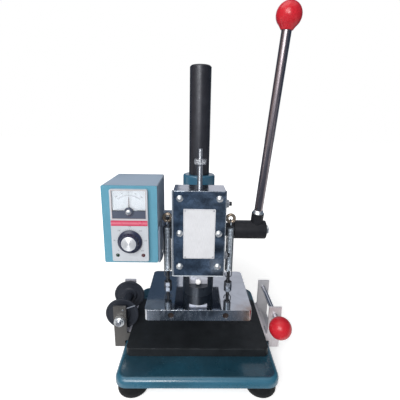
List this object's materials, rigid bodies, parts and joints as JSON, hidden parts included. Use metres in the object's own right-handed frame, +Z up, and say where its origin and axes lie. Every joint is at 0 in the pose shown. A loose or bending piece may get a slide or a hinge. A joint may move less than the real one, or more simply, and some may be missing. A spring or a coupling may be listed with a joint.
{
  "type": "hot foil stamping machine",
  "caption": "Bench-top hot foil stamping press: column stand with work table, head with rack-and-pinion lever, sprung heat plate, temperature control box, foil unwinder and rewinder.",
  "frame": {"origin": "on the floor, under the middle of the base", "axes": "+Z up, -Y towards the user, +X to the user's right"},
  "size_m": [0.261, 0.2275, 0.4805],
  "materials": {
    "blue_paint": "gloss teal-blue enamel",
    "box_paint": "satin light blue enamel",
    "black_rubber": "matte",
    "black_steel": "black satin oxide",
    "black_table": "black satin paint",
    "bracket_zinc": "dull zinc plate",
    "zinc_screws": "zinc plate",
    "chrome": "polished chrome",
    "bright_steel": "ground steel",
    "bronze": "bronze and yellow zinc",
    "red_ball": "glossy red phenolic",
    "black_plastic": "black moulded plastic",
    "bezel_white": "off-white moulded plastic",
    "bare_plate": "white printed aluminium, bare",
    "knob_silver": "spun aluminium",
    "window": "clear",
    "needle_red": "red paint",
    "strip_red": "red film",
    "lamp_green": "dark green lens",
    "lamp_red": "dark red lens"
  },
  "bodies": {
    "stand": {"base_casting": "blue_paint", "rubber_feet": "black_rubber", "foot_screws": "zinc_screws", "column": "black_steel", "column_bolt": "zinc_screws", "table_plate": "black_table", "table_screws": "zinc_screws", "bracket_left": "bracket_zinc", "bracket_right": "bracket_zinc", "bracket_screws": "zinc_screws", "brake_spring": "bright_steel"},
    "spool": {"spool_axle": "bright_steel", "spool_discs": "black_plastic", "axle_nut": "bright_steel"},
    "rewinder": {"rewind_axle": "bright_steel", "rewind_ball": "red_ball"},
    "head": {"head_casting": "blue_paint", "clamp_bolts": "zinc_screws", "gearbox_body": "chrome", "mount_bolts": "zinc_screws", "front_cover": "chrome", "cover_screws": "chrome", "cover_plate": "bare_plate", "gib": "bronze", "gib_screws": "zinc_screws", "shaft_bushes": "bronze", "eye_screws": "bronze", "channel_bracket": "bracket_zinc", "channel_screws": "zinc_screws", "control_box": "box_paint", "rear_cover": "box_paint", "rear_screws": "zinc_screws", "cable_gland": "black_plastic", "bezel": "bezel_white", "controller_case": "black_plastic", "meter_dial": "bezel_white", "meter_band": "black_plastic", "meter_window": "window", "red_strip": "strip_red", "lamp_green": "lamp_green", "lamp_red": "lamp_red", "return_springs": "bright_steel"},
    "needle": {"meter_needle": "needle_red"},
    "temp_knob": {"knob_skirt": "black_plastic", "knob_cap": "knob_silver", "knob_shaft": "bright_steel"},
    "lever": {"pinion_shaft": "bright_steel", "pinion": "bright_steel", "pinion_key": "bright_steel", "shaft_collar": "black_steel", "lever_hub": "black_steel", "hub_bolt": "zinc_screws", "lever_rod": "chrome", "lever_ball": "red_ball"},
    "ram": {"ram": "bright_steel", "stop_rod": "bright_steel", "ram_fasteners": "zinc_screws", "coupling_boss": "black_steel", "heat_plate": "chrome", "spring_studs": "black_steel"}
  },
  "joints": [
    {"name": "head_slide", "type": "slide", "parent": "stand", "child": "head", "axis": [0, 0, 1], "range_m": [-0.01, 0.14]},
    {"name": "lever_turn", "type": "hinge", "parent": "head", "child": "lever", "pos_m": [0, 0.01, 0.19], "axis": [1, 0, 0], "range_deg": [0, 100]},
    {"name": "ram_slide", "type": "slide", "parent": "head", "child": "ram", "axis": [0, 0, -1], "range_m": [0, 0.0315], "stiffness_N_per_m": 1600, "springref_m": -0.045, "deforming": ["return_springs"]},
    {"name": "knob_turn", "type": "hinge", "parent": "head", "child": "temp_knob", "pos_m": [-0.089, -0.046, 0.19384], "axis": [0, 1, 0], "range_deg": [-150, 150]},
    {"name": "needle_swing", "type": "hinge", "parent": "head", "child": "needle", "pos_m": [-0.089, -0.046, 0.2335], "axis": [0, 1, 0], "range_deg": [-35, 35], "stiffness_Nm_per_rad": 0.0005},
    {"name": "spool_spin", "type": "hinge", "parent": "stand", "child": "spool", "pos_m": [-0.111, 0, 0.069], "axis": [0, 1, 0], "continuous": true},
    {"name": "rewind_spin", "type": "hinge", "parent": "stand", "child": "rewinder", "pos_m": [0.111, 0, 0.077], "axis": [0, 1, 0], "continuous": true}
  ],
  "couplings": [
    {"joint": "ram_slide", "follows": "lever_turn", "m_per_rad": 0.018}
  ]
}
